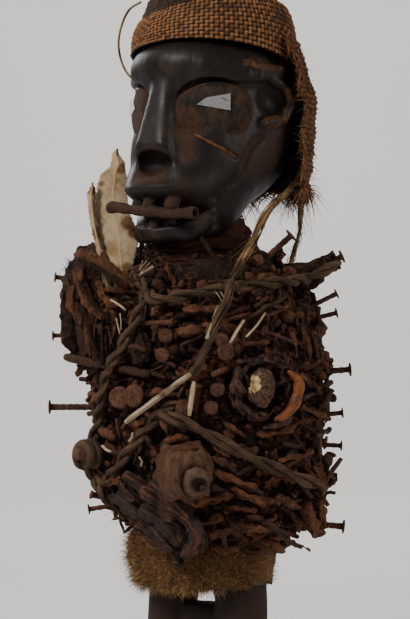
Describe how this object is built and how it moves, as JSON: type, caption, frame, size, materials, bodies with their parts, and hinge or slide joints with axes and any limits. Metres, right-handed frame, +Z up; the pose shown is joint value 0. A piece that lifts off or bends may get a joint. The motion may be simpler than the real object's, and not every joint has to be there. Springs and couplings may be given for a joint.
{
  "type": "power figure statue",
  "caption": "Standing carved wooden power figure with inlaid mirror eyes, woven cap, and a torso crusted with nails, rope, feathers, hide and bundles, on a low round base.",
  "frame": {"origin": "middle of the base's underside, on the surface it stands on", "axes": "+Z up along the figure, the figure faces -Y, its left hand side is towards +X"},
  "size_m": [0.2231, 0.2189, 0.74],
  "materials": {
    "wood": "dark oiled patina, glossy on the face, dusty and worn on the legs",
    "mirror": "silvered glass, clouded and specked at the edge",
    "woven_raffia": "matt woven palm fibre, darkened with red earth",
    "raffia": "matt twisted plant fibre",
    "feather": "matt, slightly see-through",
    "rope": "matt twisted cord, dusty",
    "iron": "rusted, matt",
    "reed": "pale split reed",
    "stick": "dark dry wood",
    "resin_and_earth": "hardened resin and red-brown earth, crumbly",
    "cloth": "matt cloth soaked with earth",
    "old_leather": "dry, cracked, purple-brown",
    "pod": "satin orange-brown seed pod",
    "fur": "short golden-brown animal hair"
  },
  "bodies": {
    "root": {"figure": "wood", "eye_mirror_left": "mirror", "eye_mirror_right": "mirror", "cap": "woven_raffia", "cap_loop": "raffia", "raffia_tie": "raffia", "raffia_ribbon": "raffia", "grass_bundle": "raffia", "feather_large": "feather", "feather_small": "feather", "chest_rope": "rope", "side_rope": "rope", "belly_rope": "rope", "stub_nail": "iron", "disc_pair": "iron", "nail_01": "iron", "nail_02": "iron", "nail_03": "iron", "nail_04": "iron", "nail_05": "iron", "nail_06": "iron", "nail_07": "iron", "nail_08": "iron", "nail_09": "iron", "nail_10": "iron", "nail_11": "iron", "nail_12": "iron", "nail_13": "iron", "nail_14": "iron", "nail_15": "iron", "nail_16": "iron", "nail_17": "iron", "nail_18": "iron", "lying_nail_1": "iron", "lying_nail_2": "iron", "lying_nail_3": "iron", "reed_long": "reed", "reed_short": "reed", "mouth_stick": "stick", "hip_peg": "stick", "side_twig": "stick", "crust": "resin_and_earth", "resin_lump": "resin_and_earth", "shoulder_knot": "resin_and_earth", "shoulder_stub": "resin_and_earth", "belly_pack": "resin_and_earth", "navel_shell": "resin_and_earth", "pack_stone": "resin_and_earth", "neck_wrap": "cloth", "bundle_1": "cloth", "bundle_2": "cloth", "bundle_3": "cloth", "bundle_4": "cloth", "bundle_5": "cloth", "shoulder_bundle": "old_leather", "leather_folds": "old_leather", "pack_ring": "old_leather", "pack_pod": "pod", "fur_skirt": "fur"}
  },
  "joints": []
}
